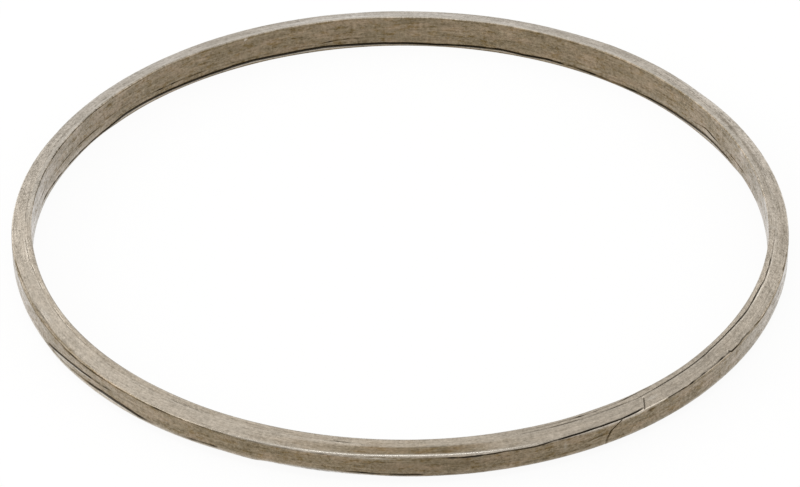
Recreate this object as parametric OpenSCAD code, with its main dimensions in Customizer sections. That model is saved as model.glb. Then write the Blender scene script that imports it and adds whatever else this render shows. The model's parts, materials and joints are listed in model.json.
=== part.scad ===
// Ring gasket for an exhaust pipe flange, folded from one strip of thin steel.
// The strip is pressed to a wedge section: a tall wall around the bore, a lower wall at the rim, a top
// face that falls outwards and an underside that rises outwards. Its edges lap in seams that open and
// close around the ring, and its two ends meet in a scarf joint.
// The ring lies on its foot fold, +Z up, with the origin on its axis at the level of the foot.

/* [Ring] */
// Diameter of the bore
bore_d = 132.7; // [100:0.1:200]
// Radial width of the folded section
section_w = 3.65; // [2.8:0.05:5]
// Height of the bore wall, from the foot to the crest
bore_h = 6.95; // [6.4:0.05:10]
// Height of the rim wall
rim_h = 4; // [3.2:0.05:4.8]
// Fall of the top face from the crest to the rim
top_fall = 1.3; // [0.5:0.05:1.8]

/* [Folds] */
// Radius of the foot fold
foot_r = 0.2; // [0.1:0.05:0.7]
// Width of the flat that the ring rests on
foot_land = 0.9; // [0.3:0.05:1.2]
// Radius of the crest fold, at the top of the bore
crest_r = 0.25; // [0.1:0.05:0.5]
// Radius of the upper rim fold
rim_top_r = 0.4; // [0.1:0.05:0.6]
// Radius of the lower rim fold
rim_foot_r = 0.6; // [0.2:0.05:0.9]

/* [Seams] */
// Open width of a seam between two edges of the strip
seam_gap = 0.2; // [0.1:0.02:0.4]
// Depth of a seam where it is deepest
seam_depth = 0.5; // [0.2:0.05:0.8]
// Distance of the lap seam from the bore
lap_w = 1; // [0.7:0.05:1.5]
// Height of the bore seam above the foot
bore_seam_h = 0.8; // [0.75:0.05:2]
// Thickness of the flap that the rim seams leave below the upper rim corner
flap_t = 0.4; // [0.3:0.05:0.8]
// Height of the foot seams above the lower rim corner
foot_seam_h = 0.6; // [0.5:0.05:1.2]

/* [Joint] */
// Direction of the butted ends of the top face, at the lap seam
joint_at = -52; // [-180:1:180]
// Slant of the butted ends across the top face, away from radial
joint_slant = 35; // [0:1:50]
// Turn from the butted ends to the middle of the scarf line
scarf_turn = -7; // [-12:0.5:-5]
// Lean of the scarf line on the rim wall, away from upright
scarf_lean = 46; // [20:1:60]
// Depth of the joint line
joint_depth = 0.6; // [0.2:0.05:0.9]

/* [Hidden] */
$fn = 240;

// Steps along each rounded fold
fold_steps = 6;
// How far a cutter runs past the surface that it cuts
past = 1;

bore_r = bore_d / 2;
rim_r = bore_r + section_w;
rim_top_z = bore_h - top_fall;
rim_foot_z = rim_top_z - rim_h;
top_slope = atan(top_fall / section_w);

// Corners of the section before they are rounded, each as [radius, height, fold radius]
section_corners = [
    [bore_r, 0, foot_r],
    [bore_r + foot_r + foot_land, 0, foot_r],
    [rim_r, rim_foot_z, rim_foot_r],
    [rim_r, rim_top_z, rim_top_r],
    [bore_r, bore_h, crest_r]
];

// Each seam as [direction of its middle, half of the angle that it runs for]
bore_seam = [83.5, 62];
lap_seam = [-77, 110];
rim_seams = [[-33, 18], [-65, 11.5], [-121, 26]];
foot_seams = [[-129, 12.5], [-146, 8]];
// Climb of each foot seam around the rim, and its height above the first
foot_seam_climb = [0, 4.6];
foot_seam_step = [0, 0.9];

// Direction of the tear in the rim flap, and how far it slants off the radius
tear_at = -34;
tear_slant = 30;
tear_len = 0.9;

function unit(v) = v / norm(v);

// Height of the top face at a radius
function top_z(r) = bore_h - (r - bore_r) * tan(top_slope);

// Points of the arc that rounds the corner b between its neighbours a and c, by the radius in b
function fold_arc(a, b, c) =
    let(
        corner = [b[0], b[1]],
        to_a = unit([a[0], a[1]] - corner),
        to_c = unit([c[0], c[1]] - corner),
        half = acos(to_a * to_c) / 2,
        centre = corner + unit(to_a + to_c) * b[2] / sin(half),
        first = corner + to_a * b[2] / tan(half) - centre,
        turn = 180 - 2 * half,
        start = atan2(first[1], first[0])
    )
    [for (i = [0:fold_steps])
        centre + b[2] * [cos(start + turn * i / fold_steps), sin(start + turn * i / fold_steps)]];

// Shift of a round cutter that enters a wall of radius r at plus and minus half, and is depth further
// from the axis midway (nearer, where depth is negative)
function cutter_shift(r, depth, half) =
    (pow(r + depth, 2) - pow(r, 2)) / (2 * (r + depth - r * cos(half)));

// The folded section, as radius and height
module section() {
    n = len(section_corners);
    polygon([for (i = [0:n - 1])
        each fold_arc(section_corners[(i + n - 1) % n], section_corners[i], section_corners[(i + 1) % n])]);
}

// A seam in the bore wall: a thin disc, set off the axis so that the seam runs out at both ends
module bore_seam_cut(seam, z) {
    shift = cutter_shift(bore_r, seam_depth, seam[1]);
    rotate([0, 0, seam[0]])
        translate([shift, 0, z - seam_gap / 2])
            cylinder(r = bore_r + seam_depth - shift, h = seam_gap);
}

// A seam in the rim wall: what a thin disc has outside a larger circle, which is set off the axis
module rim_seam_cut(seam, z, climb) {
    shift = cutter_shift(rim_r, -seam_depth, seam[1]);
    rotate([0, 0, seam[0]])
        translate([0, 0, z])
            rotate([climb, 0, 0])
                difference() {
                    cylinder(r = rim_r + past, h = seam_gap, center = true);
                    translate([shift, 0, 0])
                        cylinder(r = rim_r - seam_depth - shift, h = seam_gap + 2 * past, center = true);
                }
}

// The lap seam in the top face: a thin tube, tipped so that the seam runs out at both ends
module lap_seam_cut(seam, r) {
    dip = seam_depth / (1 - cos(seam[1]));
    rotate([0, 0, seam[0]])
        translate([0, 0, top_z(r) + dip * cos(seam[1])])
            rotate([0, atan(dip / r), 0])
                difference() {
                    cylinder(r = r + seam_gap / 2, h = 2 * dip + past);
                    translate([0, 0, -past])
                        cylinder(r = r - seam_gap / 2, h = 2 * dip + 3 * past);
                }
}

// The butted ends of the strip: a slanting line across the top face, from the lap seam to the rim
module joint_butt_cut() {
    r = bore_r + lap_w;
    rotate([0, 0, joint_at])
        translate([r, 0, top_z(r)])
            rotate([0, top_slope, 0])
                rotate([0, 0, -joint_slant])
                    translate([0, -seam_gap / 2, -joint_depth])
                        cube([section_w / cos(joint_slant), seam_gap, joint_depth + past]);
}

// The scarf: a slanting line down the rim wall, from the rim seam to the underside
module joint_scarf_cut() {
    top = rim_top_z - flap_t;
    bottom = rim_foot_z - past;
    middle = (rim_top_z + rim_foot_z) / 2;
    half_gap = seam_gap / cos(scarf_lean) / 2;
    top_y = (top - middle) * tan(scarf_lean);
    bottom_y = (bottom - middle) * tan(scarf_lean);
    rotate([0, 0, joint_at + scarf_turn])
        translate([rim_r - joint_depth, 0, 0])
            rotate([90, 0, 90])
                linear_extrude(joint_depth + past)
                    polygon([
                        [bottom_y - half_gap, bottom],
                        [bottom_y + half_gap, bottom],
                        [top_y + half_gap, top],
                        [top_y - half_gap, top]
                    ]);
}

// The tear in the flap: a short slanting line in from the rim
module tear_cut() {
    rotate([0, 0, tear_at])
        translate([rim_r + rim_top_r, 0, rim_top_z - flap_t])
            rotate([0, 0, 180 - tear_slant])
                translate([0, -seam_gap / 2, 0])
                    cube([tear_len + rim_top_r, seam_gap, flap_t + past]);
}

// The whole ring, in one piece
module gasket_ring() {
    color([0.71, 0.68, 0.63])
        difference() {
            rotate_extrude() section();
            bore_seam_cut(bore_seam, bore_seam_h);
            lap_seam_cut(lap_seam, bore_r + lap_w);
            for (seam = rim_seams)
                rim_seam_cut(seam, rim_top_z - flap_t - seam_gap / 2, 0);
            for (i = [0:len(foot_seams) - 1])
                rim_seam_cut(
                    foot_seams[i],
                    rim_foot_z + foot_seam_h + foot_seam_step[i],
                    foot_seam_climb[i]
                );
            joint_butt_cut();
            joint_scarf_cut();
            tear_cut();
        }
}

gasket_ring();
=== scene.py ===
"""Dresses the ring gasket: a folded steel strip with open seams, creases, a torn flap and a scarf joint."""

import json

import bpy
import numpy as np
from bpy.props import FloatProperty, FloatVectorProperty, IntProperty, PointerProperty
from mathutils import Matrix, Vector


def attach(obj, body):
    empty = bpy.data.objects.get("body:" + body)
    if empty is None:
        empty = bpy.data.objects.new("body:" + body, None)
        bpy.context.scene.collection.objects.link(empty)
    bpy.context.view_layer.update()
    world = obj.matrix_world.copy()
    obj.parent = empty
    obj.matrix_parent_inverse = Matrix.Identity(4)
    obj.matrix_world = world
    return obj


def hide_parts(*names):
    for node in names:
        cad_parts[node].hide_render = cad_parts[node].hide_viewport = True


bl_info = {
    "name": "Folded Ring Gasket",
    "version": (1, 0, 0),
    "blender": (4, 2, 0),
    "location": "3D View > Sidebar > Gasket",
    "description": "Builds a ring gasket folded from steel strip, its finish and a studio stage",
    "category": "Object",
}

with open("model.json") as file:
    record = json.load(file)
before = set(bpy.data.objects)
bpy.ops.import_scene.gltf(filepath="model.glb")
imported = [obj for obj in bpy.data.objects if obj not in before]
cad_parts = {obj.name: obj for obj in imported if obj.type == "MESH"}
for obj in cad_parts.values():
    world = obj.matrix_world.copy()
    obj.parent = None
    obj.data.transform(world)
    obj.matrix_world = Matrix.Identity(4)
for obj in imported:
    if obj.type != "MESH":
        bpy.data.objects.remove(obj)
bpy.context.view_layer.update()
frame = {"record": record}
NODE = "gasket_ring"
SLOT = "folded_steel"
MM = 0.001
MOUNTS = {mount["name"]: mount["dims"] for mount in frame["record"]["mounts"]}

# A turn is in degrees, clockwise from +X as seen from above, so 90 faces the camera.
# Each line below is a list of (turn, place in mm, how far it stands open, from 0 to about 1).

# Crack along the foot of the bore wall, placed by its height
BORE_SEAM = (
    (186, 1.63, 0), (192, 1.49, 0.5), (200, 0.85, 0.6), (210, 0.49, 0.65), (214.3, 0.53, 0.85),
    (218, 0.96, 1.1), (222, 0.96, 1.1), (228, 0.82, 0.95), (232, 0.73, 0.95), (240, 0.77, 0.9),
    (241.3, 0.86, 1.1), (245, 0.91, 1.1), (250, 0.77, 1.05), (257, 0.97, 1.1), (262, 0.77, 1.05),
    (270, 0.68, 0.85), (276, 0.56, 0.8), (281, 0.77, 0.8), (287, 0.91, 0.85), (291, 0.62, 0.8),
    (295, 0.82, 0.8), (297.4, 0.73, 0.8), (298.2, 0.73, 0.3), (299, 0.76, 0.65), (304, 0.54, 0.5),
    (308, 0.48, 0.4), (318, 0.67, 1), (324, 0.71, 1.1), (329, 0.98, 1.1), (334, 0.8, 0.95),
    (337, 0.78, 0.5), (340, 0.93, 0),
)
# Creases higher on the bore wall, placed by height
BORE_CREASE = (
    (187, 3.35, 0), (189.5, 3.35, 0.5), (192, 3.35, 0.4), (194, 3.1, 0), (197, 2.85, 0.4), (203, 2.8, 0.4),
    (212, 2.4, 0.4), (213, 2.7, 0), (214, 2.89, 0.3), (219, 2.89, 0.3), (222, 2.5, 0), (227, 2.05, 0.6),
    (231, 2.03, 0.4), (236, 1.9, 0.3), (239, 1.8, 0), (242, 1.65, 0.25), (256, 1.65, 0.25),
    (257, 1.95, 0.3), (259, 2.1, 0.4), (262, 2.25, 0.35), (264, 2.25, 0), (324, 1.8, 0), (326, 2, 0.4),
    (329, 2.65, 0.5), (333, 2.1, 0.4), (335, 2.2, 0.1), (337, 2.3, 0.4), (341, 2.4, 0.4), (345, 2.65, 0.3),
    (348, 2.7, 0),
)
# Hairline beside the crest, placed outwards from the crest, or down the bore wall where negative
CREST_LINE = (
    (48, 0.37, 0), (52.8, 0.37, 0.5), (56.5, 0.58, 0.5), (61, 0.66, 0.5), (68, 0.66, 0.4), (72, 0.66, 0.2),
    (76, 0.6, 0), (180, -0.13, 0), (185, -0.13, 0.5), (203, -0.13, 0.5), (207, -0.13, 0.6),
    (211, -0.13, 0.5), (214, -0.45, 0.25), (222, -0.45, 0.25), (226, -0.4, 0), (278, -0.5, 0),
    (282, -0.55, 0.25), (310, -0.55, 0.25), (316, -0.5, 0),
)
# Edge of the inner lap on the top face, placed by its radius
LAP_SEAM = (
    (325, 67.83, 0), (330, 67.83, 0.3), (334, 67.83, 0.35), (338, 67.75, 0.15), (345, 67.7, 0.3),
    (350, 67.5, 0.35), (355, 67.55, 0.3), (360, 67.75, 0.3), (365, 67.34, 0.45), (370, 67.3, 0.65),
    (377, 67.4, 0.8), (379, 67.22, 0.9), (382, 67.22, 0.9), (385, 67.34, 0.9), (390, 67.2, 0.95),
    (395, 67.17, 1), (400, 67.34, 1), (405, 67.35, 1), (410, 67.45, 0.9), (412, 67.55, 0.85),
    (413.5, 67.6, 0.72), (416, 67.5, 0.72), (424, 67.5, 0.74), (432, 67.5, 0.64), (435, 67.7, 0.15),
    (438, 67.9, 0.25), (450, 67.93, 0.3), (454.5, 67.93, 0.2), (456, 67.5, 0.5), (459.5, 67.5, 0.5),
    (462, 67.5, 0.15), (467, 67.5, 0.3), (476, 67.45, 0.4), (495, 67.48, 0.35), (498, 67.6, 0.3),
    (501, 67.26, 0.35), (515, 67.22, 0.45), (522, 67.2, 0.45), (528, 67.4, 0.42), (540, 67.5, 0.35),
    (547, 67.6, 0.35), (550, 67.6, 0),
)
# Edge of the outer lap at the upper rim corner, placed down the rim wall, or in over the top where negative
RIM_SEAM = (
    (4, -0.21, 0), (8.5, -0.21, 0.1), (9, -0.21, 0.45), (13, -0.21, 0.45), (13.5, -0.2, 0), (17, 0.1, 0),
    (18.5, 0.2, 0.3), (25, 0.2, 0.35), (27, -0.1, 0.5), (31, -0.32, 0.6), (33, -0.07, 0.5),
    (34.5, -0.07, 0.55), (35, -0.32, 0.55), (40, -0.32, 0.6), (42, -0.21, 0.65), (45, 0.04, 0.6),
    (49, 0.11, 0.7), (49.8, 0.1, 0), (53.3, -0.33, 0), (53.6, -0.36, 0.7), (54.5, -0.23, 0.9),
    (57, -0.09, 0.9), (62, -0.09, 0.85), (66, 0.04, 0.9), (68, 0.1, 0.8), (69.5, 0.3, 0.7),
    (71, 0.44, 0.65), (75.3, 0.3, 0.65), (79, 0.47, 0.7), (81.5, 0.5, 0.75), (84, 0.3, 0.6),
    (86, 0.1, 0.35), (88.3, 0.05, 0), (93, 0.15, 0), (95, 0.15, 0.3), (105, 0.2, 0.4), (117, 0.2, 0.4),
    (135, 0.22, 0.5), (141, 0.33, 0.6), (147, 0.33, 0.6), (150, -0.25, 0.3), (153, -0.6, 0.3),
    (156, -0.64, 0.35), (156.4, -0.5, 0.3), (162, -0.64, 0.3), (165, -0.35, 0.3), (170, -0.13, 0.3),
    (174, -0.1, 0),
)
# Upper crack in the rim wall, placed by its height
WALL_CRACK = (
    (57, 3.9, 0), (59.4, 3.8, 0), (59.8, 3.8, 0.35), (63.7, 3.3, 0.35), (65, 3.2, 0), (133, 3.9, 0),
    (136, 3.88, 0.35), (140.2, 3.72, 0.5), (143, 3.58, 1), (147.4, 3.15, 1), (150, 2.81, 0.9),
    (151.7, 2.55, 0.8), (152.4, 2.5, 0),
)
# Lower crack in the rim wall, placed by its height
FOOT_CRACK = (
    (61, 2.5, 0), (62.5, 2.45, 0.3), (72, 2.3, 0.3), (73.5, 2.3, 0), (76, 1.95, 0), (79, 2, 0.3),
    (85, 2.02, 0.35), (89, 2.05, 0.6), (97, 2.1, 0.6), (99, 2.1, 0), (116, 2.1, 0), (117.5, 2.2, 0.6),
    (121, 2.1, 0.7), (123.5, 2, 0.2), (127, 2.1, 0.1), (130, 2.18, 0.6), (133, 2.46, 1), (137.5, 2.56, 1),
    (141, 2.46, 0.6), (146, 2.23, 0.4), (152, 2.2, 0.35), (155, 1.9, 0),
)

# How far the ring is out of round, and the lift of its crest, upper rim corner, lower rim corner and bore
# foot, as (turn, mm)
OUT_OF_ROUND = (
    (0, -0.14), (20, -0.06), (40, 0.04), (56, 0.14), (75, 0.02), (90, -0.13), (110, -0.23), (130, -0.2),
    (150, -0.08), (166, -0.1), (180, 0.03), (192, -0.05), (204, -0.28), (222, -0.18), (240, -0.24),
    (255, -0.26), (270, -0.12), (285, 0.06), (300, 0.25), (315, 0.24), (330, 0.02), (345, -0.18),
)
CREST_LIFT = (
    (10, 0), (30, 0), (37, -0.05), (43, -0.15), (50, -0.1), (52, -0.05), (53.2, -0.1), (60, 0), (66, -0.08),
    (75, 0), (200, 0), (207, -0.12), (214, -0.17), (221, -0.26), (228, -0.15), (233, -0.28), (239, -0.39),
    (244, -0.37), (250, -0.26), (262, -0.18), (271, -0.36), (276, -0.28), (280, -0.38), (286, -0.28),
    (299, -0.5), (306, -0.38), (316, -0.6), (330, -0.55), (342, -0.5), (350, -0.35),
)
RIM_TOP_LIFT = (
    (190, 0), (198, -0.12), (212, -0.2), (220, -0.15), (232, -0.08), (240, 0.1), (245, 0.17), (258, 0.22),
    (262, 0.1), (267, 0.15), (272, 0.06), (285, 0.1), (300, 0.06), (305, 0.25), (310, 0.15), (316, -0.05),
    (323, -0.33), (335, -0.2), (350, 0),
)
RIM_FOOT_LIFT = (
    (20, 0), (45, -0.13), (60, -0.16), (72, -0.18), (90, -0.03), (95, 0.16), (101, 0.34), (105, 0.34),
    (109, 0.2), (111, -0.1), (116, 0.05), (121, -0.12), (130, -0.32), (150, -0.32), (153, -0.1), (165, 0),
)
BORE_FOOT_LIFT = (
    (20, 0), (165, 0), (184, 0.5), (190, 0.45), (195, 0.35), (200, 0.28), (210, 0.26), (213, 0.18),
    (217, 0), (328, 0), (334, 0.2), (338, 0.35), (342, 0.85), (350, 1), (356, 1),
)
# How far the pale finish of the top runs down the rim wall, as (turn, mm); moved turn by turn, it paints a
# highlight on the upper rim corner at the front and paints shade over it at the sides
RIM_PALE = (
    (0, -0.2), (8, -0.4), (30, -0.4), (36, -0.3), (43, -0.25), (48, -0.1), (52, 0.05), (54, 0.25), (62, 0.2),
    (68, 0.1), (80, 0.1), (86, -0.15), (94, -0.15), (99, 0.1), (110, 0.1), (120, -0.15), (130, -0.25),
    (140, -0.4), (148, -0.6), (166, -0.6), (175, -0.35), (185, 0), (200, 0.1), (270, 0.2), (345, 0.1),
)
# Share of brown on the main band, partly wear and partly painted shade at the front, and share of brown on
# the inner lap, as (turn, share)
BAND_WEAR_AND_SHADE = (
    (67, 0), (74, 0.2), (77, 0.35), (80, 0.8), (83, 1), (95, 0.9), (100, 0.6), (106, 0.3), (114, 0), (345, 0),
    (356, 0.2), (368, 0.2), (377, 0),
)
INNER_BROWN = (
    (75, 0), (88, 0.2), (125, 0.2), (150, 0.2), (165, 0.17), (180, 0), (325, 0), (340, 0.28), (352, 0.32),
    (360, 0.1), (368, 0.15), (375, 0.25), (385, 0.1), (390, 0),
)
# Share of rubbed steel and painted highlight beside the crest, and of painted reflection of the white floor
# on the lower rim fold, as (turn, share)
CREST_RUB_AND_HIGHLIGHT = (
    (178, 0), (184, 0.4), (210, 0.35), (225, 0.25), (240, 0.4), (285, 0.6), (310, 0.6), (335, 0.45),
    (347, 0.3), (355, 0),
)
FOOT_PAINTED_REFLECTION = ((0, 0.3), (20, 0.15), (100, 0.15), (116, 0.4), (150, 0.7), (165, 0.5), (180, 0.3))
# Share of coarser grain on the top face, as (turn, share)
TOP_GRAIN = (
    (20, 0.3), (45, 0.1), (60, 0), (160, 0.1), (175, 0.6), (190, 0.9), (215, 0.8), (232, 0.35), (305, 0.4),
    (325, 0.8), (345, 0.6),
)
# How far the brown of the bore wall runs over the crest, as (turn, mm)
CREST_BROWN = ((290, 0), (312, 0.15), (345, 0.15), (355, 0))
# Bright ridge near the outer edge of the top face, raised and painted with a highlight, as (turn, radius in
# mm, share)
RIDGE = (
    (66, 69.87, 0), (72, 69.9, 0.4), (78, 69.84, 1), (84, 69.67, 1), (90, 69.57, 1), (96, 69.74, 1),
    (105, 69.88, 0.8), (111, 69.9, 0.4), (118, 69.87, 0),
)
# Width and lift of the ridge, width of the painted reflection on the lower rim fold, and reach of the lift of
# the lower rim corner and of the bore foot, in mm
RIDGE_WIDTH, RIDGE_LIFT = 0.14, 0.09
FOOT_REFLECTION_WIDTH = 0.5
FOOT_REACH = 0.9
# Soft edges on the top face: where the rub and painted highlight beside the crest start and end, and where
# the inner lap starts, in mm from the crest, and where the wear and painted shade of the main band start, by
# radius
CREST_RUB_AND_HIGHLIGHT_START, CREST_RUB_AND_HIGHLIGHT_END = (0.05, 0.25), (0.5, 1.2)
LAP_START = (0.3, 0.6)
BAND_START = (67.9, 68.15)
# Widths in mm of the soft edge of the brown at the crest, of the pale at the rim and of the wear and painted
# shade at the ridge
BROWN_EDGE, PALE_EDGE, RIDGE_EDGE = 0.25, 0.4, 0.4

# Joint lines across the strip, each as points of (place in mm, turn, how far it stands open)
# Butted ends on the top face, placed by radius
BUTT = ((68.07, 52.3, 0.55), (69.93, 53.4, 0.55))
# Scarf down the rim wall, placed by height
SCARF = ((5.39, 57.4, 1), (3.99, 59.15, 0.9), (2.63, 59.8, 0.4), (1.75, 60, 0.3))
# Tear in the rim flap, placed from the upper rim corner
TEAR = ((-0.58, 34.9, 0.8), (-0.07, 34.6, 0.9))

# Lines around the ring, as (points, face, half gap, depth, darkness of its grime and painted shade, width of
# its lips, lift of each lip, rub and painted highlight of each lip, seed of its ragged edge), lengths in mm
LINES = {
    "bore_seam": (BORE_SEAM, "bore", 0.2, 0.5, 1.6, 0.14, (0.03, 0.04), (0.5, 0), 11),
    "bore_crease": (BORE_CREASE, "bore", 0.11, 0.4, 2.2, 0.1, (0.02, 0), (0.1, 0), 13),
    "crest_line": (CREST_LINE, "crest", 0.08, 0.3, 2, 0.08, (0, 0.02), (0, 0.2), 15),
    "lap_seam": (LAP_SEAM, "top", 0.08, 0.35, 0.75, 0.12, (0, 0.05), (0, 0.2), 17),
    "rim_seam": (RIM_SEAM, "rim_corner", 0.14, 0.5, 1.4, 0.12, (0.03, 0.02), (0.1, 0.2), 19),
    "wall_crack": (WALL_CRACK, "rim", 0.15, 0.5, 1.6, 0.16, (0.02, 0.06), (0, 0.7), 21),
    "foot_crack": (FOOT_CRACK, "rim", 0.14, 0.5, 1.6, 0.16, (0.02, 0.06), (0, 0.7), 23),
}
# Joint lines, as (points, face, degrees over which the columns of the mesh bend to it, depth in mm)
CUTS = ((BUTT, "top", 3, 0.4), (SCARF, "rim", 5.5, 0.35), (TEAR, "rim_corner", 2, 0.35))

# Dents, bulges and marks, as (face, turn, place, length, width and lift in mm, darkening, lightening); the
# darkening is dirt in some marks and painted shade in others, and the lightening is rubbed steel in some and
# painted highlight in others
SPOTS = (
    ("bore", 330, 2.05, 4, 0.6, 0.12, 0, 0.2),
    ("bore", 243.5, 6.4, 0.2, 0.2, 0.03, 0, 0.7),
    # Painted shadow in a dent
    ("rim", 52.1, 4.85, 0.8, 0.3, -0.12, 0.6, 0),
    # Painted highlight along a small ridge
    ("top", 51.2, 68.7, 1.1, 0.25, 0.05, 0, 0.5),
    ("top", 154.5, 68.9, 1.8, 0.35, 0.03, 0, 0.4),
    ("top", 187, 67.6, 0.3, 0.2, -0.05, 0.6, 0),
    ("top", 3, 67.2, 0.25, 0.4, 0.03, 0, 0.8),
    ("top", 315, 67.7, 0.3, 0.3, 0, 0.5, 0),
    ("top", 333.5, 67.95, 4.5, 0.35, -0.03, 0.55, 0),
    ("top", 352, 67.6, 5, 0.25, 0, 0.25, 0),
    ("top", 195, 68.5, 7, 0.7, 0, 0.08, 0),
    ("top", 342, 67.85, 7, 0.35, -0.02, 0.4, 0),
    ("top", 280.5, 68.7, 1.2, 0.5, 0, 0.18, 0),
    ("top", 285.5, 68.6, 3.5, 1.2, 0, 0.14, 0),
    ("top", 261, 69.3, 0.6, 0.4, 0, 0.15, 0),
    ("top", 251, 69.5, 0.5, 0.4, 0, 0.18, 0),
    ("bore", 241.5, 5.2, 1.6, 0.5, 0, 0.2, 0),
    ("bore", 247.5, 5, 1, 0.8, 0, 0.15, 0),
    ("bore", 278, 5.2, 2.5, 0.35, 0, 0.15, 0),
    ("bore", 294, 5.9, 0.5, 0.7, 0, 0.25, 0),
    ("bore", 200, 5.7, 2, 0.3, 0, 0.2, 0),
    ("bore", 341, 6.1, 0.25, 0.5, 0.02, 0, 0.8),
    ("rim", 113, 3.9, 0.15, 1.2, 0, 0, 0.6),
    ("rim", 148, 2.5, 3.5, 0.25, 0, 0, 0.5),
    # Painted shade on the front of the rim wall
    ("rim", 83, 3.6, 13, 2, 0, 0.2, 0),
    # This mark and the next paint light on the rim wall at the right and left
    ("rim", 29, 3.8, 8, 2, 0, 0, 0.14),
    ("rim", 140, 4, 15, 1.6, 0, 0, 0.1),
    # Painted shade over the glint on the upper rim corner at the left
    ("rim", 154, 5.6, 14, 0.3, 0, 0.3, 0),
    ("bore", 318, 1.5, 6, 0.35, 0, 0, 0.12),
    ("bore", 302, 1.5, 5, 0.35, 0, 0, 0.1),
    ("bore", 203, 1, 12, 0.7, 0, 0, 0.3),
    ("rim", 66.5, 3.8, 0.12, 0.8, 0, 0, 0.5),
    # Painted highlight just under the upper rim corner
    ("rim", 94, 5.35, 3.5, 0.08, 0, 0, 0.6),
    ("rim", 79, 4.2, 0.15, 0.9, 0, 0, 0.5),
    ("top", 83.5, 68.9, 1.6, 0.5, 0, 0.2, 0),
    ("top", 88, 68.6, 1.5, 0.5, 0, 0.12, 0),
    # Painted highlight beside the lap seam
    ("top", 20.5, 67.35, 1.4, 0.12, 0.02, 0, 0.9),
    ("top", 5, 68.9, 8, 0.9, 0, 0.12, 0),
    ("top", 358, 68.8, 6, 0.9, 0, 0.12, 0),
    ("top", 225, 68.8, 6, 1.6, 0, 0.12, 0),
    ("bore", 273, 6.1, 3.5, 0.35, 0, 0.22, 0),
    ("bore", 305, 6.3, 3.5, 0.15, 0, 0.25, 0),
)
# Waves in the faces, as (degrees around the ring, mm across the strip, lift in mm, seed)
WAVES = ((9, 5, 0.02, 31), (4, 2.6, 0.006, 33))
# Radius of the middle of the strip, in mm
MEAN_R = 68.2

# Textures of the strip, as (features in a mm along it and across it, detail, roughness)
TEXTURES = {
    "streak": (0.12, 3.5, 3, 0.5),
    "hatch": (2, 0.25, 3, 0.6),
    "speckle": (1.6, 2.6, 3, 0.75),
    "blotch": (0.2, 0.6, 4, 0.6),
    "dirt": (0.45, 1.3, 4, 0.7),
}
# Values of a texture between which brown stain, flecks of dirt, and rubbed steel with painted highlights set
# in
BROWN_RANGE, FLECK_RANGE, RUB_AND_HIGHLIGHT_RANGE = (0.4, 0.7), (0.5, 0.66), (0.3, 0.95)

# Sides of the floor, its gap under the ring in mm, and the width of the camera's sensor in mm
FLOOR_SIDES = 96
FLOOR_GAP = 0.02
SENSOR = 36


class Section:
    """The folded wedge section as a closed path, measured along its unrounded outline in mm."""

    # Points along each rounded fold
    ARC_STEPS = 10

    def __init__(self, sizes):
        bore, rim = sizes.bore_radius / MM, sizes.rim_radius / MM
        crest, top, low = sizes.crest_height / MM, sizes.rim_top / MM, sizes.rim_foot / MM
        foot_out = bore + (sizes.foot_fold + sizes.foot_flat) / MM
        corners = (
            (np.array((foot_out, 0.0)), sizes.foot_fold / MM),
            (np.array((bore, 0.0)), sizes.foot_fold / MM),
            (np.array((bore, crest)), sizes.crest_fold / MM),
            (np.array((rim, top)), sizes.rim_top_fold / MM),
            (np.array((rim, low)), sizes.rim_foot_fold / MM),
        )
        self.bore, self.rim, self.crest, self.rim_top = bore, rim, crest, top
        self.slope = np.hypot(rim - bore, crest - top) / (rim - bore)
        self._trace(corners)

    def _trace(self, corners):
        """Works out where the path runs, starting and ending midway along the underside."""
        count = len(corners)
        start = (corners[0][0] + corners[-1][0]) / 2
        path, points, normals, at = 0.0, [(0.0, start)], [], []
        last = start
        for i, (corner, fold) in enumerate(corners):
            path += np.linalg.norm(corner - last)
            last = corner
            at.append(path)
            into = _unit(corner - corners[i - 1][0])
            out = _unit(corners[(i + 1) % count][0] - corner)
            half = np.arccos(into @ out) / 2
            reach = fold * np.tan(half)
            centre = corner - into * reach + fold * np.array((into[1], -into[0]))
            if not normals:
                normals.append((0.0, _left(into)))
            for step in np.linspace(-1, 1, self.ARC_STEPS):
                turn = _unit(_left(into) * np.sin(half * (1 - step)) + _left(out) * np.sin(half * (1 + step)))
                points.append((path + reach * step, centre + fold * turn))
                normals.append((path + reach * step, turn))
        path += np.linalg.norm(start - last)
        points.append((path, start))
        normals.append((path, normals[0][1]))
        self.length = path
        self.at_foot, self.at_bore_foot, self.at_crest, self.at_rim_top, self.at_rim_foot = at
        self._steps = np.array([p for p, _ in points])
        self._points = np.array([q for _, q in points])
        self._normal_steps = np.array([p for p, _ in normals])
        self._normals = np.array([q for _, q in normals])

    def point(self, path):
        """Radius and height at a place on the path."""
        return [np.interp(path, self._steps, self._points[:, axis]) for axis in (0, 1)]

    def normal(self, path):
        """Outward direction at a place on the path."""
        return [np.interp(path, self._normal_steps, self._normals[:, axis]) for axis in (0, 1)]

    def on(self, face):
        """The function that turns a place on a face into a place on the path."""
        return getattr(self, "on_" + face)

    def on_bore(self, height):
        return self.at_bore_foot + height

    def on_crest(self, offset):
        return self.at_crest + offset

    def on_top(self, radius):
        return self.at_crest + (radius - self.bore) * self.slope

    def on_rim_corner(self, offset):
        return self.at_rim_top + offset

    def on_rim(self, height):
        return self.at_rim_top + self.rim_top - height


def _unit(vector):
    return vector / np.linalg.norm(vector)


def _left(vector):
    """The direction a quarter turn to the left, which is outwards along this path."""
    return np.array((-vector[1], vector[0]))


def along(points, turn, column):
    """One value of a list of points at each turn, closed around the ring."""
    return np.interp(turn, [p[0] for p in points], [p[column] for p in points], period=360)


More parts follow.
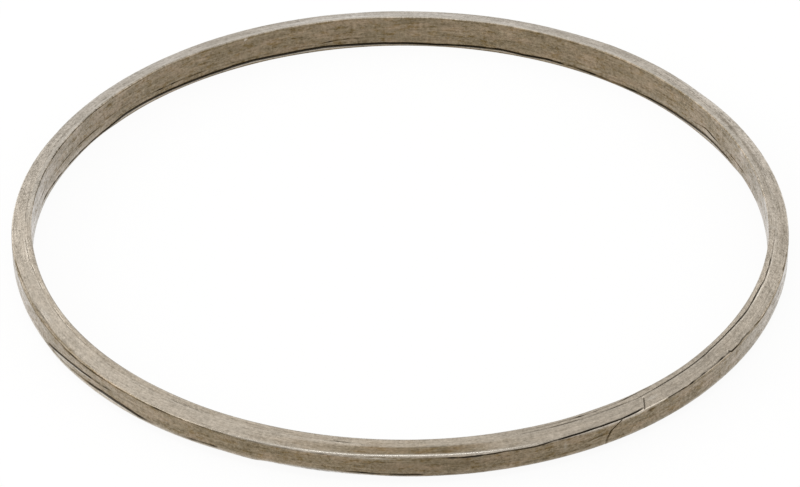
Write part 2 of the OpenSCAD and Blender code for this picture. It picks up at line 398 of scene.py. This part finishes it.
def wander(turn, step, seed):
    """Smooth irregular values from -1 to 1 around the ring, about one for each step in degrees."""
    count = round(360 / step)
    knots = np.random.default_rng(seed).uniform(-1, 1, count)
    place = turn / 360 * count
    index = np.floor(place).astype(int)
    share = smooth(place - index)
    return knots[index % count] * (1 - share) + knots[(index + 1) % count] * share


def smooth(share):
    """A share from 0 to 1 that starts and ends gently."""
    return share * share * (3 - 2 * share)


def ramp(value, low, high):
    """A smooth step from 0 at low to 1 at high."""
    return smooth(np.clip((value - low) / (high - low), 0, 1))


def patch(along_deg, across, length, width):
    """Share of a soft-edged patch, sized in mm along and across the strip."""
    along_mm = np.radians(along_deg) * MEAN_R
    return np.exp(-((along_mm / length) ** 2) - (across / width) ** 2)


def band(across, width):
    """Share of a soft-edged band of some width in mm, all along the strip."""
    return patch(0, across, 1, width)


class Cut:
    """A joint line across the strip, which the columns of the mesh bend to follow."""

    # Half widths of the open line, of its edges, of the grime and painted shade beside it and of the extra
    # columns, in degrees
    FLOOR, EDGE, STAIN, SPREAD = 0.11, 0.16, 0.26, 0.36
    COLUMNS = (0, FLOOR, EDGE, STAIN, SPREAD)
    # Share of the grime and painted shade at the edges, and mm in which the line runs out at its ends
    EDGE_STAIN, FADE = 0.55, 0.12

    def __init__(self, points, to_path, bend, depth):
        self.path = np.array([to_path(p[0]) for p in points])
        self.turn = np.array([p[1] for p in points])
        self.open = np.array([p[2] for p in points])
        self.middle = (self.turn[0] + self.turn[-1]) / 2
        self.bend, self.depth = bend, depth

    def shift(self, turn, path, length):
        """How far the columns move along the ring, less and less up to bend degrees away."""
        places = np.concatenate(([0], self.path, [length]))
        moves = np.concatenate(([0], self.turn - self.middle, [0]))
        near = np.clip(1 - np.abs(turn - self.middle) / self.bend, 0, 1)
        return np.interp(path, places, moves) * near

    def shares(self, turn, path):
        """Shares of the depth and of the grime and painted shade at each place."""
        off = np.abs(turn - self.middle)
        places = np.concatenate(([self.path[0] - self.FADE], self.path, [self.path[-1] + self.FADE]))
        run = np.interp(path, places, np.concatenate(([0], self.open, [0])))
        depth = np.interp(off, (self.FLOOR, self.EDGE), (1, 0)) * run
        grime_and_shade = np.interp(off, (self.FLOOR, self.EDGE, self.STAIN), (1, self.EDGE_STAIN, 0)) * run
        return depth, grime_and_shade


class Line:
    """A seam, crack or crease around the ring: where it runs, and the rows of the mesh that cross it."""

    # Rows across a line: half gaps from its middle, lips past that, share of the depth, share of the grime
    # and painted shade
    ROWS = ((-1, -1, 0, 0), (-1, 0, 0, 0.8), (-0.75, 0, 1, 1), (0.75, 0, 1, 1), (1, 0, 0, 0.8), (1, 1, 0, 0))
    # Half gap of a closed line, in mm
    CLOSED = 0.015
    # Waver of the opening, as (share, step in degrees, skip of the seed), and the opening that has none
    WAVER, STEADY = ((0.6, 0.9, 0), (0.3, 3, 2)), 1.2
    # Waver of the place, as mm, step in degrees and skip of the seed
    SWAY, SWAY_STEP, SWAY_SKIP = 0.03, 1.6, 1
    # Opening at which a line starts to gape, how much further until it gapes in full, and the most it gapes
    GAPE_FROM, GAPE_SPAN, GAPE_MOST = 0.35, 0.65, 1.2

    def __init__(self, points, to_path, bent, half_gap, depth, dark, lip, lifts, lip_rubs_and_highlights, seed):
        turn = bent(to_path(along(points, bent(0), 1)))
        width = along(points, turn, 2)
        waver = sum(share * wander(turn, step, seed + skip) for share, step, skip in self.WAVER)
        self.open = width * np.maximum(0, 1 + (self.STEADY - width) * waver)
        self.half = self.CLOSED + half_gap * np.sqrt(self.open)
        sway = self.SWAY * wander(turn, self.SWAY_STEP, seed + self.SWAY_SKIP)
        self.place = to_path(along(points, turn, 1)) + sway
        self.gape = np.clip((self.open - self.GAPE_FROM) / self.GAPE_SPAN, 0, self.GAPE_MOST)
        self.depth = depth * self.gape**2
        self.grime_and_shade = np.minimum(1, dark * self.open**1.5)
        self.lip, self.lifts, self.lip_rubs_and_highlights = lip, lifts, lip_rubs_and_highlights
        self.first = self.place - self.half - lip
        self.last = self.place + self.half + lip


class Rows:
    """Rows of the mesh in order along the section, each with a value at every column."""

    def __init__(self, columns):
        self.columns = columns
        self.path, self.lift, self.grime_and_shade, self.rub = [], [], [], []
        self.add(0)

    def add(self, path, lift=0, grime_and_shade=0, rub=0):
        for rows, values in ((self.path, path), (self.lift, lift), (self.grime_and_shade, grime_and_shade), (self.rub, rub)):
            rows.append(np.zeros(self.columns) + values)

    def reach(self, place, count):
        """Evenly spaced rows up to a place."""
        start = self.path[-1]
        for step in range(1, count + 1):
            self.add(start + (place - start) * step / count)

    def cross(self, line, count):
        """Evenly spaced rows up to a line, then the rows across it, whose edges are lifted, and rubbed and
        lightened with a painted highlight.
        """
        start = self.path[-1]
        for step in range(1, count):
            self.add(start + (line.first - start) * step / count)
        for gaps, lips, deep, grime_and_shade in line.ROWS:
            side = 0 if gaps < 0 else 1
            edge = abs(gaps) == 1 and lips == 0
            lift = line.gape * edge * line.lifts[side] - deep * line.depth
            rub = line.gape * (edge + abs(lips)) * line.lip_rubs_and_highlights[side]
            self.add(line.place + gaps * line.half + lips * line.lip, lift, grime_and_shade * line.grime_and_shade, rub)

    def stack(self):
        return [np.array(rows) for rows in (self.path, self.lift, self.grime_and_shade, self.rub)]


def columns_of(cuts, count):
    """Turns of the columns: evenly spaced, with more beside each joint line."""
    turn = np.arange(count) * 360 / count
    for cut in cuts:
        turn = turn[np.abs(turn - cut.middle) > cut.COLUMNS[-1]]
        beside = [cut.middle + side * off for off in cut.COLUMNS for side in (-1, 1)]
        turn = np.union1d(turn, np.round(beside, 4))
    return turn


def rows_of(section, lines, bent):
    """Rows of the mesh from the underside over the foot, bore, crest, top and rim and back."""
    # Half widths of the folds and of the ridge, room between a line and the rows beside it, and the step that
    # closes the path on the underside, in mm
    foot, bore, fold, crown, room, closing = 0.15, 0.3, 0.4, 0.2, 0.05, 0.5
    bore_seam, bore_crease, crest_line, lap_seam, rim_seam, wall_crack, foot_crack = lines.values()
    rows = Rows(len(lap_seam.place))
    rows.reach(section.at_foot - foot, 2)
    rows.reach(section.at_foot + foot, 3)
    rows.reach(section.at_bore_foot - bore, 1)
    rows.reach(np.minimum(section.at_bore_foot + bore, bore_seam.first - room), 5)
    rows.cross(bore_seam, 1)
    rows.cross(bore_crease, 3)
    rows.reach(np.minimum(section.at_crest - fold, crest_line.first - room), 9)
    rows.cross(crest_line, 3)
    rows.reach(np.maximum(section.at_crest + fold, crest_line.last + room), 4)
    rows.cross(lap_seam, 2)
    ridge = section.on_top(along(RIDGE, bent(section.at_rim_top), 1))
    ridge = np.minimum(ridge, rim_seam.first - (crown + room))
    rows.reach(ridge - crown, 6)
    rows.reach(ridge + crown, 4)
    rows.cross(rim_seam, 2)
    rows.reach(np.maximum(section.at_rim_top + fold, rim_seam.last + room), 4)
    rows.cross(wall_crack, 5)
    rows.cross(foot_crack, 4)
    rows.reach(section.at_rim_foot + fold, 6)
    rows.reach(section.length - closing, 2)
    return rows.stack()


def ring_shape(sizes):
    """Points of the ring as rows by columns, and its shares of grime and painted shade, of rub and painted
    highlight, of wall finish and of coarse grain.
    """
    section = Section(sizes)
    cuts = [Cut(points, section.on(face), bend, depth) for points, face, bend, depth in CUTS]
    turn = columns_of(cuts, sizes.columns)

    def bent(path):
        """Turns of the columns at a place on the section."""
        return turn + sum(cut.shift(turn, path, section.length) for cut in cuts)

    lines = {
        name: Line(points, section.on(face), bent, *rest) for name, (points, face, *rest) in LINES.items()
    }
    lap = lines["lap_seam"]
    path, lift, grime_and_shade, rub = rows_of(section, lines, bent)
    place = bent(path)
    for cut in cuts:
        deep, dark = cut.shares(turn, path)
        lift = lift * (1 - deep) - np.maximum(cut.depth, -lift) * deep
        grime_and_shade = np.maximum(grime_and_shade, dark)
    for face, at_turn, at, length, width, raised, dark, bright in SPOTS:
        share = patch(place - at_turn, path - section.on(face)(at), length, width)
        lift = lift + raised * share
        grime_and_shade = np.maximum(grime_and_shade, dark * share)
        rub = np.maximum(rub, bright * share)
    lift += face_waves(path, place)
    lift -= sizes.lap_step / MM * lap_drop(section, lap, path)
    ridge_path = section.on_top(along(RIDGE, place, 1))
    ridge = along(RIDGE, place, 2) * band(path - ridge_path, RIDGE_WIDTH)
    lift += RIDGE_LIFT * ridge
    # The ridge share joins the rub share: a painted highlight along the ridge
    rub = np.maximum(np.maximum(rub, ridge), fold_rub_and_highlight(section, path, place))
    wall = wall_share(section, lap, ridge_path, path, place)
    coarse = along(TOP_GRAIN, place, 1) * (1 - wall)
    shares = {"grime_and_shade": grime_and_shade, "rub": np.clip(rub, 0, 1), "wall": wall, "coarse": coarse}
    return ring_points(section, path, place, lift), shares


def fold_rub_and_highlight(section, path, place):
    """Share of rubbed steel and painted highlight beside the crest, and of painted reflection on the lower
    rim fold.
    """
    crest = ramp(path, *map(section.on_crest, CREST_RUB_AND_HIGHLIGHT_START))
    crest = crest * (1 - ramp(path, *map(section.on_crest, CREST_RUB_AND_HIGHLIGHT_END)))
    foot = band(path - section.at_rim_foot, FOOT_REFLECTION_WIDTH)
    return np.maximum(along(CREST_RUB_AND_HIGHLIGHT, place, 1) * crest, along(FOOT_PAINTED_REFLECTION, place, 1) * foot)


def wall_share(section, lap, ridge_path, path, place):
    """Share of the brown finish, which covers the walls, the main band where it is worn and painted with
    shade, and the inner lap in places; its edge on the upper rim corner paints highlight and shade.
    """
    brown = section.on_crest(along(CREST_BROWN, place, 1))
    bore_side = 1 - ramp(path, brown - BROWN_EDGE, brown)
    # The pale edge on the upper rim corner paints highlight at the front and shade at the sides
    pale = section.on_rim_corner(along(RIM_PALE, place, 1))
    rim_side = ramp(path, pale, pale + PALE_EDGE)
    main = ramp(path, *map(section.on_top, BAND_START))
    main = main * (1 - ramp(path, ridge_path - RIDGE_EDGE, ridge_path))
    inner = ramp(path, *map(section.on_crest, LAP_START)) * (path < lap.place)
    # The brown on the main band is partly wear and partly painted shade; the inner lap is browner in places
    wall = bore_side + rim_side + main * along(BAND_WEAR_AND_SHADE, place, 1) + inner * along(INNER_BROWN, place, 1)
    return np.clip(wall, 0, 1)


def ring_points(section, path, place, lift):
    """Points of the section at each place, lifted off its faces, out of round and with uneven edges."""
    radius, height = section.point(path)
    out, up = section.normal(path)
    radius = radius + out * lift + along(OUT_OF_ROUND, place, 1)
    height = np.maximum(height + up * lift, 0)
    outward = np.clip((radius - section.bore) / (section.rim - section.bore), 0, 1)
    upward = np.clip(height / section.crest, 0, 1) ** 2
    height += upward * (1 - outward) * along(CREST_LIFT, place, 1)
    height += upward * outward**4 * along(RIM_TOP_LIFT, place, 1)
    height += along(RIM_FOOT_LIFT, place, 1) * band(path - section.at_rim_foot, FOOT_REACH)
    height += along(BORE_FOOT_LIFT, place, 1) * band(path - section.at_bore_foot, FOOT_REACH)
    angle = np.radians(place)
    return np.stack((radius * np.cos(angle), -radius * np.sin(angle), height), axis=-1) * MM


def face_waves(path, turn):
    """Shallow waves that pressing leaves in the faces of the strip."""
    waves = 0
    for step, pitch, lift, seed in WAVES:
        phase = path / pitch * 2 * np.pi
        waves = waves + lift * wander(turn, step, seed) * np.cos(phase)
        waves = waves + lift * wander(turn, step, seed + 1) * np.sin(phase)
    return waves


def lap_drop(section, lap, path):
    """Share by which the inner lap lies under the main band, most at the seam."""
    start = section.on_crest(LAP_START[0])
    rise = np.clip((path - start) / (lap.place - start), 0, 1)
    return np.where(path < lap.place, rise, 0) * np.minimum(1, lap.gape)


def ring_mesh(sizes):
    """The ring as one closed mesh, with its shares as vertex attributes."""
    points, shares = ring_shape(sizes)
    rows, columns = points.shape[:2]
    index = np.arange(rows * columns).reshape(rows, columns)
    beyond = np.roll(index, -1, axis=1)
    faces = np.stack((index, beyond, np.roll(beyond, -1, axis=0), np.roll(index, -1, axis=0)), axis=-1)
    mesh = bpy.data.meshes.new(NODE + "_dressed")
    mesh.from_pydata(points.reshape(-1, 3), [], faces.reshape(-1, 4))
    mesh.polygons.foreach_set("use_smooth", np.ones(len(mesh.polygons), bool))
    for name, values in shares.items():
        attribute = mesh.attributes.new(name, "FLOAT", "POINT")
        attribute.data.foreach_set("value", values.astype(np.float32).ravel())
    if mesh.validate():
        raise RuntimeError("The ring's mesh has broken faces")
    mesh.update()
    return mesh


class Value:
    """One output of a node; arithmetic on it adds Math nodes."""

    def __init__(self, nodes, socket):
        self.nodes, self.socket = nodes, socket

    def _math(self, operation, first, second):
        return self.nodes.add("ShaderNodeMath", {"operation": operation}, {0: first, 1: second})

    def __add__(self, other):
        return self._math("ADD", self, other)

    def __radd__(self, other):
        return self._math("ADD", other, self)

    def __sub__(self, other):
        return self._math("SUBTRACT", self, other)

    def __rsub__(self, other):
        return self._math("SUBTRACT", other, self)

    def __mul__(self, other):
        return self._math("MULTIPLY", self, other)

    def __rmul__(self, other):
        return self._math("MULTIPLY", other, self)

    def __truediv__(self, other):
        return self._math("DIVIDE", self, other)


class Nodes:
    """The node tree of one material or world."""

    def __init__(self, owner):
        owner.use_nodes = True
        self.tree = owner.node_tree
        self.tree.nodes.clear()

    def add(self, kind, settings=None, sockets=None, output=0):
        """Adds a node with its settings, then its sockets' values or links, and gives one of its outputs."""
        node = self.tree.nodes.new(kind)
        for name, value in (settings or {}).items():
            setattr(node, name, value)
        for name, value in (sockets or {}).items():
            if isinstance(value, Value):
                self.tree.links.new(value.socket, node.inputs[name])
            else:
                node.inputs[name].default_value = value
        return Value(self, node.outputs[output]) if node.outputs else None

    def share(self, name):
        """A vertex attribute of the mesh."""
        return self.add("ShaderNodeAttribute", {"attribute_name": name}, {}, "Fac")

    def noise(self, coordinates, detail, roughness):
        sockets = {"Vector": coordinates, "Scale": 1.0, "Detail": detail, "Roughness": roughness}
        return self.add("ShaderNodeTexNoise", {"noise_dimensions": "3D"}, sockets)

    def between(self, value, low, high):
        """A smooth step from 0 at low to 1 at high."""
        settings = {"interpolation_type": "SMOOTHSTEP"}
        return self.add("ShaderNodeMapRange", settings, {"Value": value, "From Min": low, "From Max": high})

    def mix(self, share, first, second):
        """A colour between two colours."""
        return self.add("ShaderNodeMix", {"data_type": "RGBA"}, {0: share, 6: first, 7: second}, 2)

    def scale(self, colour, factor):
        return self.add("ShaderNodeVectorMath", {"operation": "SCALE"}, {0: colour, "Scale": factor})


def strip_coordinates(nodes):
    """Coordinates of the strip: a function of how many features a mm holds along it and across it."""
    place = nodes.add("ShaderNodeTexCoord", {}, {}, "Object")
    level = nodes.add("ShaderNodeVectorMath", {"operation": "MULTIPLY"}, {0: place, 1: (1, 1, 0)})
    radius = nodes.add("ShaderNodeVectorMath", {"operation": "LENGTH"}, {0: level}, "Value")
    height = nodes.add("ShaderNodeSeparateXYZ", {}, {0: place}, "Z")
    around = nodes.add("ShaderNodeVectorMath", {"operation": "NORMALIZE"}, {0: level})
    across = (height - radius) / MM

    def coordinates(along_mm, across_mm):
        lift = nodes.add("ShaderNodeCombineXYZ", {}, {"Z": across * across_mm})
        spread = (MEAN_R * along_mm, MEAN_R * along_mm, 0)
        sockets = {0: around, 1: spread, 2: lift}
        return nodes.add("ShaderNodeVectorMath", {"operation": "MULTIPLY_ADD"}, sockets)

    return coordinates


def steel_material(finish):
    """Dull pressed steel: grey and rubbed on the top with painted highlights, stained brown on the walls,
    dark with grime and painted shade in the seams.
    """
    material = bpy.data.materials.new(SLOT)
    nodes = Nodes(material)
    strip = strip_coordinates(nodes)
    streak, hatch, speckle, blotch, dirt = (
        nodes.noise(strip(along_mm, across_mm), detail, roughness)
        for along_mm, across_mm, detail, roughness in TEXTURES.values()
    )
    wall, grime_and_shade, rub, coarse = map(nodes.share, ("wall", "grime_and_shade", "rub", "coarse"))

    # The numbers below are shares: how strongly each texture or finish shows, on the top and on the walls
    colour = nodes.mix(wall, finish.top_colour, finish.wall_colour)
    brown = nodes.between(blotch, *BROWN_RANGE) * (0.1 + 0.4 * wall)
    colour = nodes.mix(brown, colour, finish.brown_colour)
    fleck = nodes.between(dirt, *FLECK_RANGE)
    colour = nodes.mix(fleck * (0.15 + 0.3 * wall), colour, finish.fleck_colour)
    uneven = speckle + 0.5 * streak + 0.2 * hatch + 0.5 * blotch - 1.1
    grain = finish.grain * (0.6 + 0.4 * wall + 0.7 * coarse) * uneven
    colour = nodes.scale(colour, 1 + (0.65 - 0.1 * wall) * grain)
    # Painted highlight: the rub share lightens the colour on edges, folds, lips and marks, partly rubbed
    # steel
    rub_and_highlight_mask = rub * nodes.between(speckle + hatch, *RUB_AND_HIGHLIGHT_RANGE)
    colour = nodes.mix(rub_and_highlight_mask, colour, finish.rub_and_highlight_colour)
    # Painted shade: the grime colour darkens seams, cracks, joint lines and some marks, along with their real
    # dirt
    colour = nodes.mix(grime_and_shade, colour, finish.grime_and_shade_colour)
    rough = finish.roughness + 0.05 * wall + 0.25 * (speckle - 0.5) + 0.15 * (streak - 0.5)
    rough = rough - 0.2 * rub_and_highlight_mask + 0.3 * grime_and_shade
    film = 0.88 + (1.7 - 0.7 * wall) * grain - 0.5 * fleck * wall
    film = finish.film * nodes.between(grime_and_shade, 0.5, 0) * film
    relief = (speckle + 0.8 * streak + 0.6 * hatch) * (1 - 0.7 * rub)
    normal = nodes.add(
        "ShaderNodeBump", {}, {"Height": relief, "Strength": finish.bump, "Distance": finish.bump_depth}
    )
    surface = nodes.add(
        "ShaderNodeBsdfPrincipled",
        {},
        {
            "Base Color": colour,
            "Metallic": (1 - 0.6 * wall) * (1 - grime_and_shade),
            "Roughness": rough,
            "Normal": normal,
            "Specular IOR Level": finish.grime_shine,
            "Coat Weight": film,
            "Coat Roughness": finish.film_roughness,
            "Coat IOR": finish.film_index,
        },
    )
    nodes.add("ShaderNodeOutputMaterial", {}, {"Surface": surface})
    return material


def floor_material(stage):
    """White board that keeps the shadow and shows as white to the camera and in the metal."""
    material = bpy.data.materials.new("white_board")
    nodes = Nodes(material)
    seen = [
        nodes.add("ShaderNodeLightPath", {}, {}, name)
        for name in ("Is Camera Ray", "Is Glossy Ray", "Is Transmission Ray")
    ]
    board = nodes.add("ShaderNodeBsdfDiffuse", {}, {"Color": stage.floor_colour})
    white = nodes.add("ShaderNodeEmission", {}, {"Color": (1, 1, 1, 1), "Strength": 1.0})
    share = stage.floor_white * (seen[0] + seen[1] + seen[2])
    surface = nodes.add("ShaderNodeMixShader", {}, {0: share, 1: board, 2: white})
    nodes.add("ShaderNodeOutputMaterial", {}, {"Surface": surface})
    return material


def number_prop(name, description, default):
    return FloatProperty(name=name, description=description, default=default)


def share_prop(name, description, default):
    return FloatProperty(name=name, description=description, default=default, subtype="FACTOR")


def size_prop(name, description, default):
    return FloatProperty(name=name, description=description, default=default, unit="LENGTH", precision=5)


def colour_prop(name, description, default):
    return FloatVectorProperty(
        name=name, description=description, default=(*default, 1), size=4, min=0, max=1, subtype="COLOR"
    )


def place_prop(name, description, default):
    return FloatVectorProperty(
        name=name, description=description, default=default, subtype="TRANSLATION", unit="LENGTH"
    )


def span_prop(name, description, default):
    return FloatVectorProperty(name=name, description=description, default=default, size=2, unit="LENGTH")


class RingSizes(bpy.types.PropertyGroup):
    """Sizes of the folded ring."""

    bore_radius: size_prop("Bore radius", "Radius of the bore wall", MOUNTS["pipe_bore"]["r_mm"] * MM)
    rim_radius: size_prop("Rim radius", "Radius of the rim wall", MOUNTS["flange_recess"]["r_mm"] * MM)
    crest_height: size_prop("Crest height", "Height of the crest before it is rounded", 6.95 * MM)
    rim_top: size_prop("Rim top", "Height of the upper rim corner before it is rounded", 5.65 * MM)
    rim_foot: size_prop("Rim foot", "Height of the lower rim corner before it is rounded", 1.65 * MM)
    foot_flat: size_prop("Foot flat", "Width of the flat that the ring rests on", 0.9 * MM)
    foot_fold: size_prop("Foot fold", "Radius of the folds beside the flat", 0.2 * MM)
    crest_fold: size_prop("Crest fold", "Radius of the fold at the crest", 0.25 * MM)
    rim_top_fold: size_prop("Upper rim fold", "Radius of the upper rim fold", 0.4 * MM)
    rim_foot_fold: size_prop("Lower rim fold", "Radius of the lower rim fold", 0.6 * MM)
    lap_step: size_prop("Lap step", "How far the inner lap lies under the main band", 0.07 * MM)
    columns: IntProperty(
        name="Columns", description="Columns of the mesh around the ring", default=900, min=200
    )


class RingFinish(bpy.types.PropertyGroup):
    """Colours and surface of the steel."""

    top_colour: colour_prop("Top", "Rubbed steel of the top face", (0.475, 0.42, 0.345))
    wall_colour: colour_prop("Walls", "Stained steel of the walls", (0.185, 0.137, 0.07))
    brown_colour: colour_prop("Brown stain", "Heat stain in blotches", (0.21, 0.134, 0.068))
    fleck_colour: colour_prop("Flecks", "Dark flecks of burnt dirt", (0.133, 0.078, 0.01))
    # Also the colour of the painted highlights
    rub_and_highlight_colour: colour_prop("Rubbed edge", "Bright steel on rubbed edges", (0.74, 0.7, 0.63))
    # Also the colour of the painted shade in the seams and cracks
    grime_and_shade_colour: colour_prop("Grime", "Dirt in the seams", (0.012, 0.0075, 0.003))
    roughness: share_prop("Roughness", "Mean roughness", 0.36)
    grime_shine: share_prop("Grime shine", "Reflection of the grime", 0.05)
    film: share_prop("Film", "Strength of the oily film", 1)
    film_roughness: share_prop("Film roughness", "Roughness of the film", 0.2)
    film_index: number_prop("Film index", "Refractive index of the film", 1.62)
    grain: number_prop("Grain", "Strength of the grain in the colour", 2.9)
    bump: share_prop("Bump", "Strength of the grain in the relief", 0.3)
    bump_depth: size_prop("Bump depth", "Depth of the grain", 0.03 * MM)


class StageSettings(bpy.types.PropertyGroup):
    """Floor, lights and camera."""

    floor_colour: colour_prop("Floor", "White board under the ring", (0.95, 0.95, 0.95))
    floor_white: share_prop("Floor white", "Share of plain white that the camera sees", 0.93)
    floor_radius: size_prop("Floor radius", "Radius of the board", 3.0)
    sky_colour: colour_prop("Room", "Light that the room gives from all sides", (0.735, 0.719, 0.695))
    side_place: place_prop("Side lamp", "Place of the right soft box, mirrored by the left", (0.9, 0.1, 0.3))
    side_size: span_prop("Side lamp size", "Width and height of a side soft box", (1.8, 0.58))
    left_light: number_prop("Left light", "Brightness of the left soft box", 2.55)
    right_light: number_prop("Right light", "Brightness of the right soft box", 1.2)
    key_place: place_prop("Key lamp", "Place of the soft box above the ring's left", (-0.3, 0.45, 0.95))
    key_size: span_prop("Key lamp size", "Width and height of the key soft box", (0.8, 1.0))
    key_light: number_prop("Key light", "Brightness of the key soft box", 0.2)
    back_place: place_prop("Back lamp", "Place of the soft box behind the ring's right", (0.55, 1, 0.3))
    back_size: span_prop("Back lamp size", "Width and height of the back soft box", (0.5, 0.5))
    back_light: number_prop("Back light", "Brightness of the back soft box", 0.3)
    top_place: place_prop("Top lamp", "Place of the strip lamp above the ring's front", (0, -0.22, 0.9))
    top_size: span_prop("Top lamp size", "Width and depth of the strip lamp", (0.5, 0.08))
    top_light: number_prop("Top light", "Brightness of the strip lamp", 6)
    camera_place: place_prop("Camera", "Place of the camera", (-0.000084, -0.73805, 0.5229))
    camera_tilt: FloatProperty(
        name="Camera tilt",
        description="Angle of the camera below level",
        default=np.radians(35.29),
        subtype="ANGLE",
    )
    camera_lens: number_prop("Lens", "Focal length in mm", 225)


def place_object(name, data):
    thing = bpy.data.objects.new(name, data)
    bpy.context.scene.collection.objects.link(thing)
    return thing


def add_soft_box(name, place, size, brightness):
    """A rectangular lamp that faces the ring."""
    lamp = bpy.data.lights.new(name, "AREA")
    lamp.shape = "RECTANGLE"
    lamp.size, lamp.size_y = size
    lamp.energy = brightness * np.pi * size[0] * size[1]
    box = place_object(name, lamp)
    box.location = place
    box.rotation_euler = (-Vector(place)).to_track_quat("-Z", "Y").to_euler()


class GASKET_OT_build_ring(bpy.types.Operator):
    """Builds the folded ring with its seams, joint and finish"""

    bl_idname = "gasket.build_ring"
    bl_label = "Build Ring"

    def execute(self, context):
        ring = place_object("folded_ring", ring_mesh(context.scene.gasket_sizes))
        ring.data.materials.append(steel_material(context.scene.gasket_finish))
        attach(ring, "root")
        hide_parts(NODE)
        return {"FINISHED"}


class GASKET_OT_build_stage(bpy.types.Operator):
    """Builds the floor, the lamps and the camera"""

    bl_idname = "gasket.build_stage"
    bl_label = "Build Stage"

    def execute(self, context):
        scene = context.scene
        stage = scene.gasket_stage
        self.add_floor(stage)
        world = bpy.data.worlds.new("room")
        nodes = Nodes(world)
        light = nodes.add("ShaderNodeBackground", {}, {"Color": stage.sky_colour, "Strength": 1.0})
        nodes.add("ShaderNodeOutputWorld", {}, {"Surface": light})
        scene.world = world
        for name, side, light in (("right_box", 1, stage.right_light), ("left_box", -1, stage.left_light)):
            place = Vector(stage.side_place) * Vector((side, 1, 1))
            add_soft_box(name, place, stage.side_size, light)
        add_soft_box("key_box", stage.key_place, stage.key_size, stage.key_light)
        add_soft_box("back_box", stage.back_place, stage.back_size, stage.back_light)
        add_soft_box("top_strip", stage.top_place, stage.top_size, stage.top_light)
        lens = bpy.data.cameras.new("camera")
        lens.lens = stage.camera_lens
        lens.sensor_width = SENSOR
        lens.sensor_fit = "HORIZONTAL"
        camera = place_object("camera", lens)
        camera.location = stage.camera_place
        camera.rotation_euler = (np.pi / 2 - stage.camera_tilt, 0, 0)
        scene.camera = camera
        scene.view_settings.view_transform = "Standard"
        return {"FINISHED"}

    @staticmethod
    def add_floor(stage):
        """A round board just under the foot of the ring."""
        sides = np.arange(FLOOR_SIDES) / FLOOR_SIDES * 2 * np.pi
        edge = stage.floor_radius * np.stack((np.cos(sides), np.sin(sides), 0 * sides), axis=-1)
        mesh = bpy.data.meshes.new("floor")
        mesh.from_pydata(edge, [], [list(range(len(edge)))])
        mesh.materials.append(floor_material(stage))
        floor = place_object("floor", mesh)
        floor.location.z = -FLOOR_GAP * MM


class GASKET_PT_panel(bpy.types.Panel):
    """Lists the sizes, the finish, the stage and the steps that build them"""

    bl_idname = "GASKET_PT_panel"
    bl_label = "Ring Gasket"
    bl_space_type = "VIEW_3D"
    bl_region_type = "UI"
    bl_category = "Gasket"

    def draw(self, context):
        for name, step in STEPS.items():
            settings = [getattr(context.scene, group) for group in step[1:]]
            box = self.layout.box()
            for group in settings:
                for prop in group.__annotations__:
                    box.prop(group, prop)
            box.operator(name, text=step[0].bl_label)


# Each step by the name of its operator, with the settings that it reads
STEPS = {
    "gasket.build_ring": (GASKET_OT_build_ring, "gasket_sizes", "gasket_finish"),
    "gasket.build_stage": (GASKET_OT_build_stage, "gasket_stage"),
}
GROUPS = {"gasket_sizes": RingSizes, "gasket_finish": RingFinish, "gasket_stage": StageSettings}
CLASSES = (*GROUPS.values(), *(step[0] for step in STEPS.values()), GASKET_PT_panel)


def register():
    for cls in CLASSES:
        bpy.utils.register_class(cls)
    for name, group in GROUPS.items():
        setattr(bpy.types.Scene, name, PointerProperty(type=group))


def unregister():
    for name in GROUPS:
        delattr(bpy.types.Scene, name)
    for cls in reversed(CLASSES):
        bpy.utils.unregister_class(cls)


def main():
    """Builds the ring and its stage."""
    register()
    bpy.ops.gasket.build_ring()
    bpy.ops.gasket.build_stage()
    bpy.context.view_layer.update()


if __name__ == "__main__":
    main()
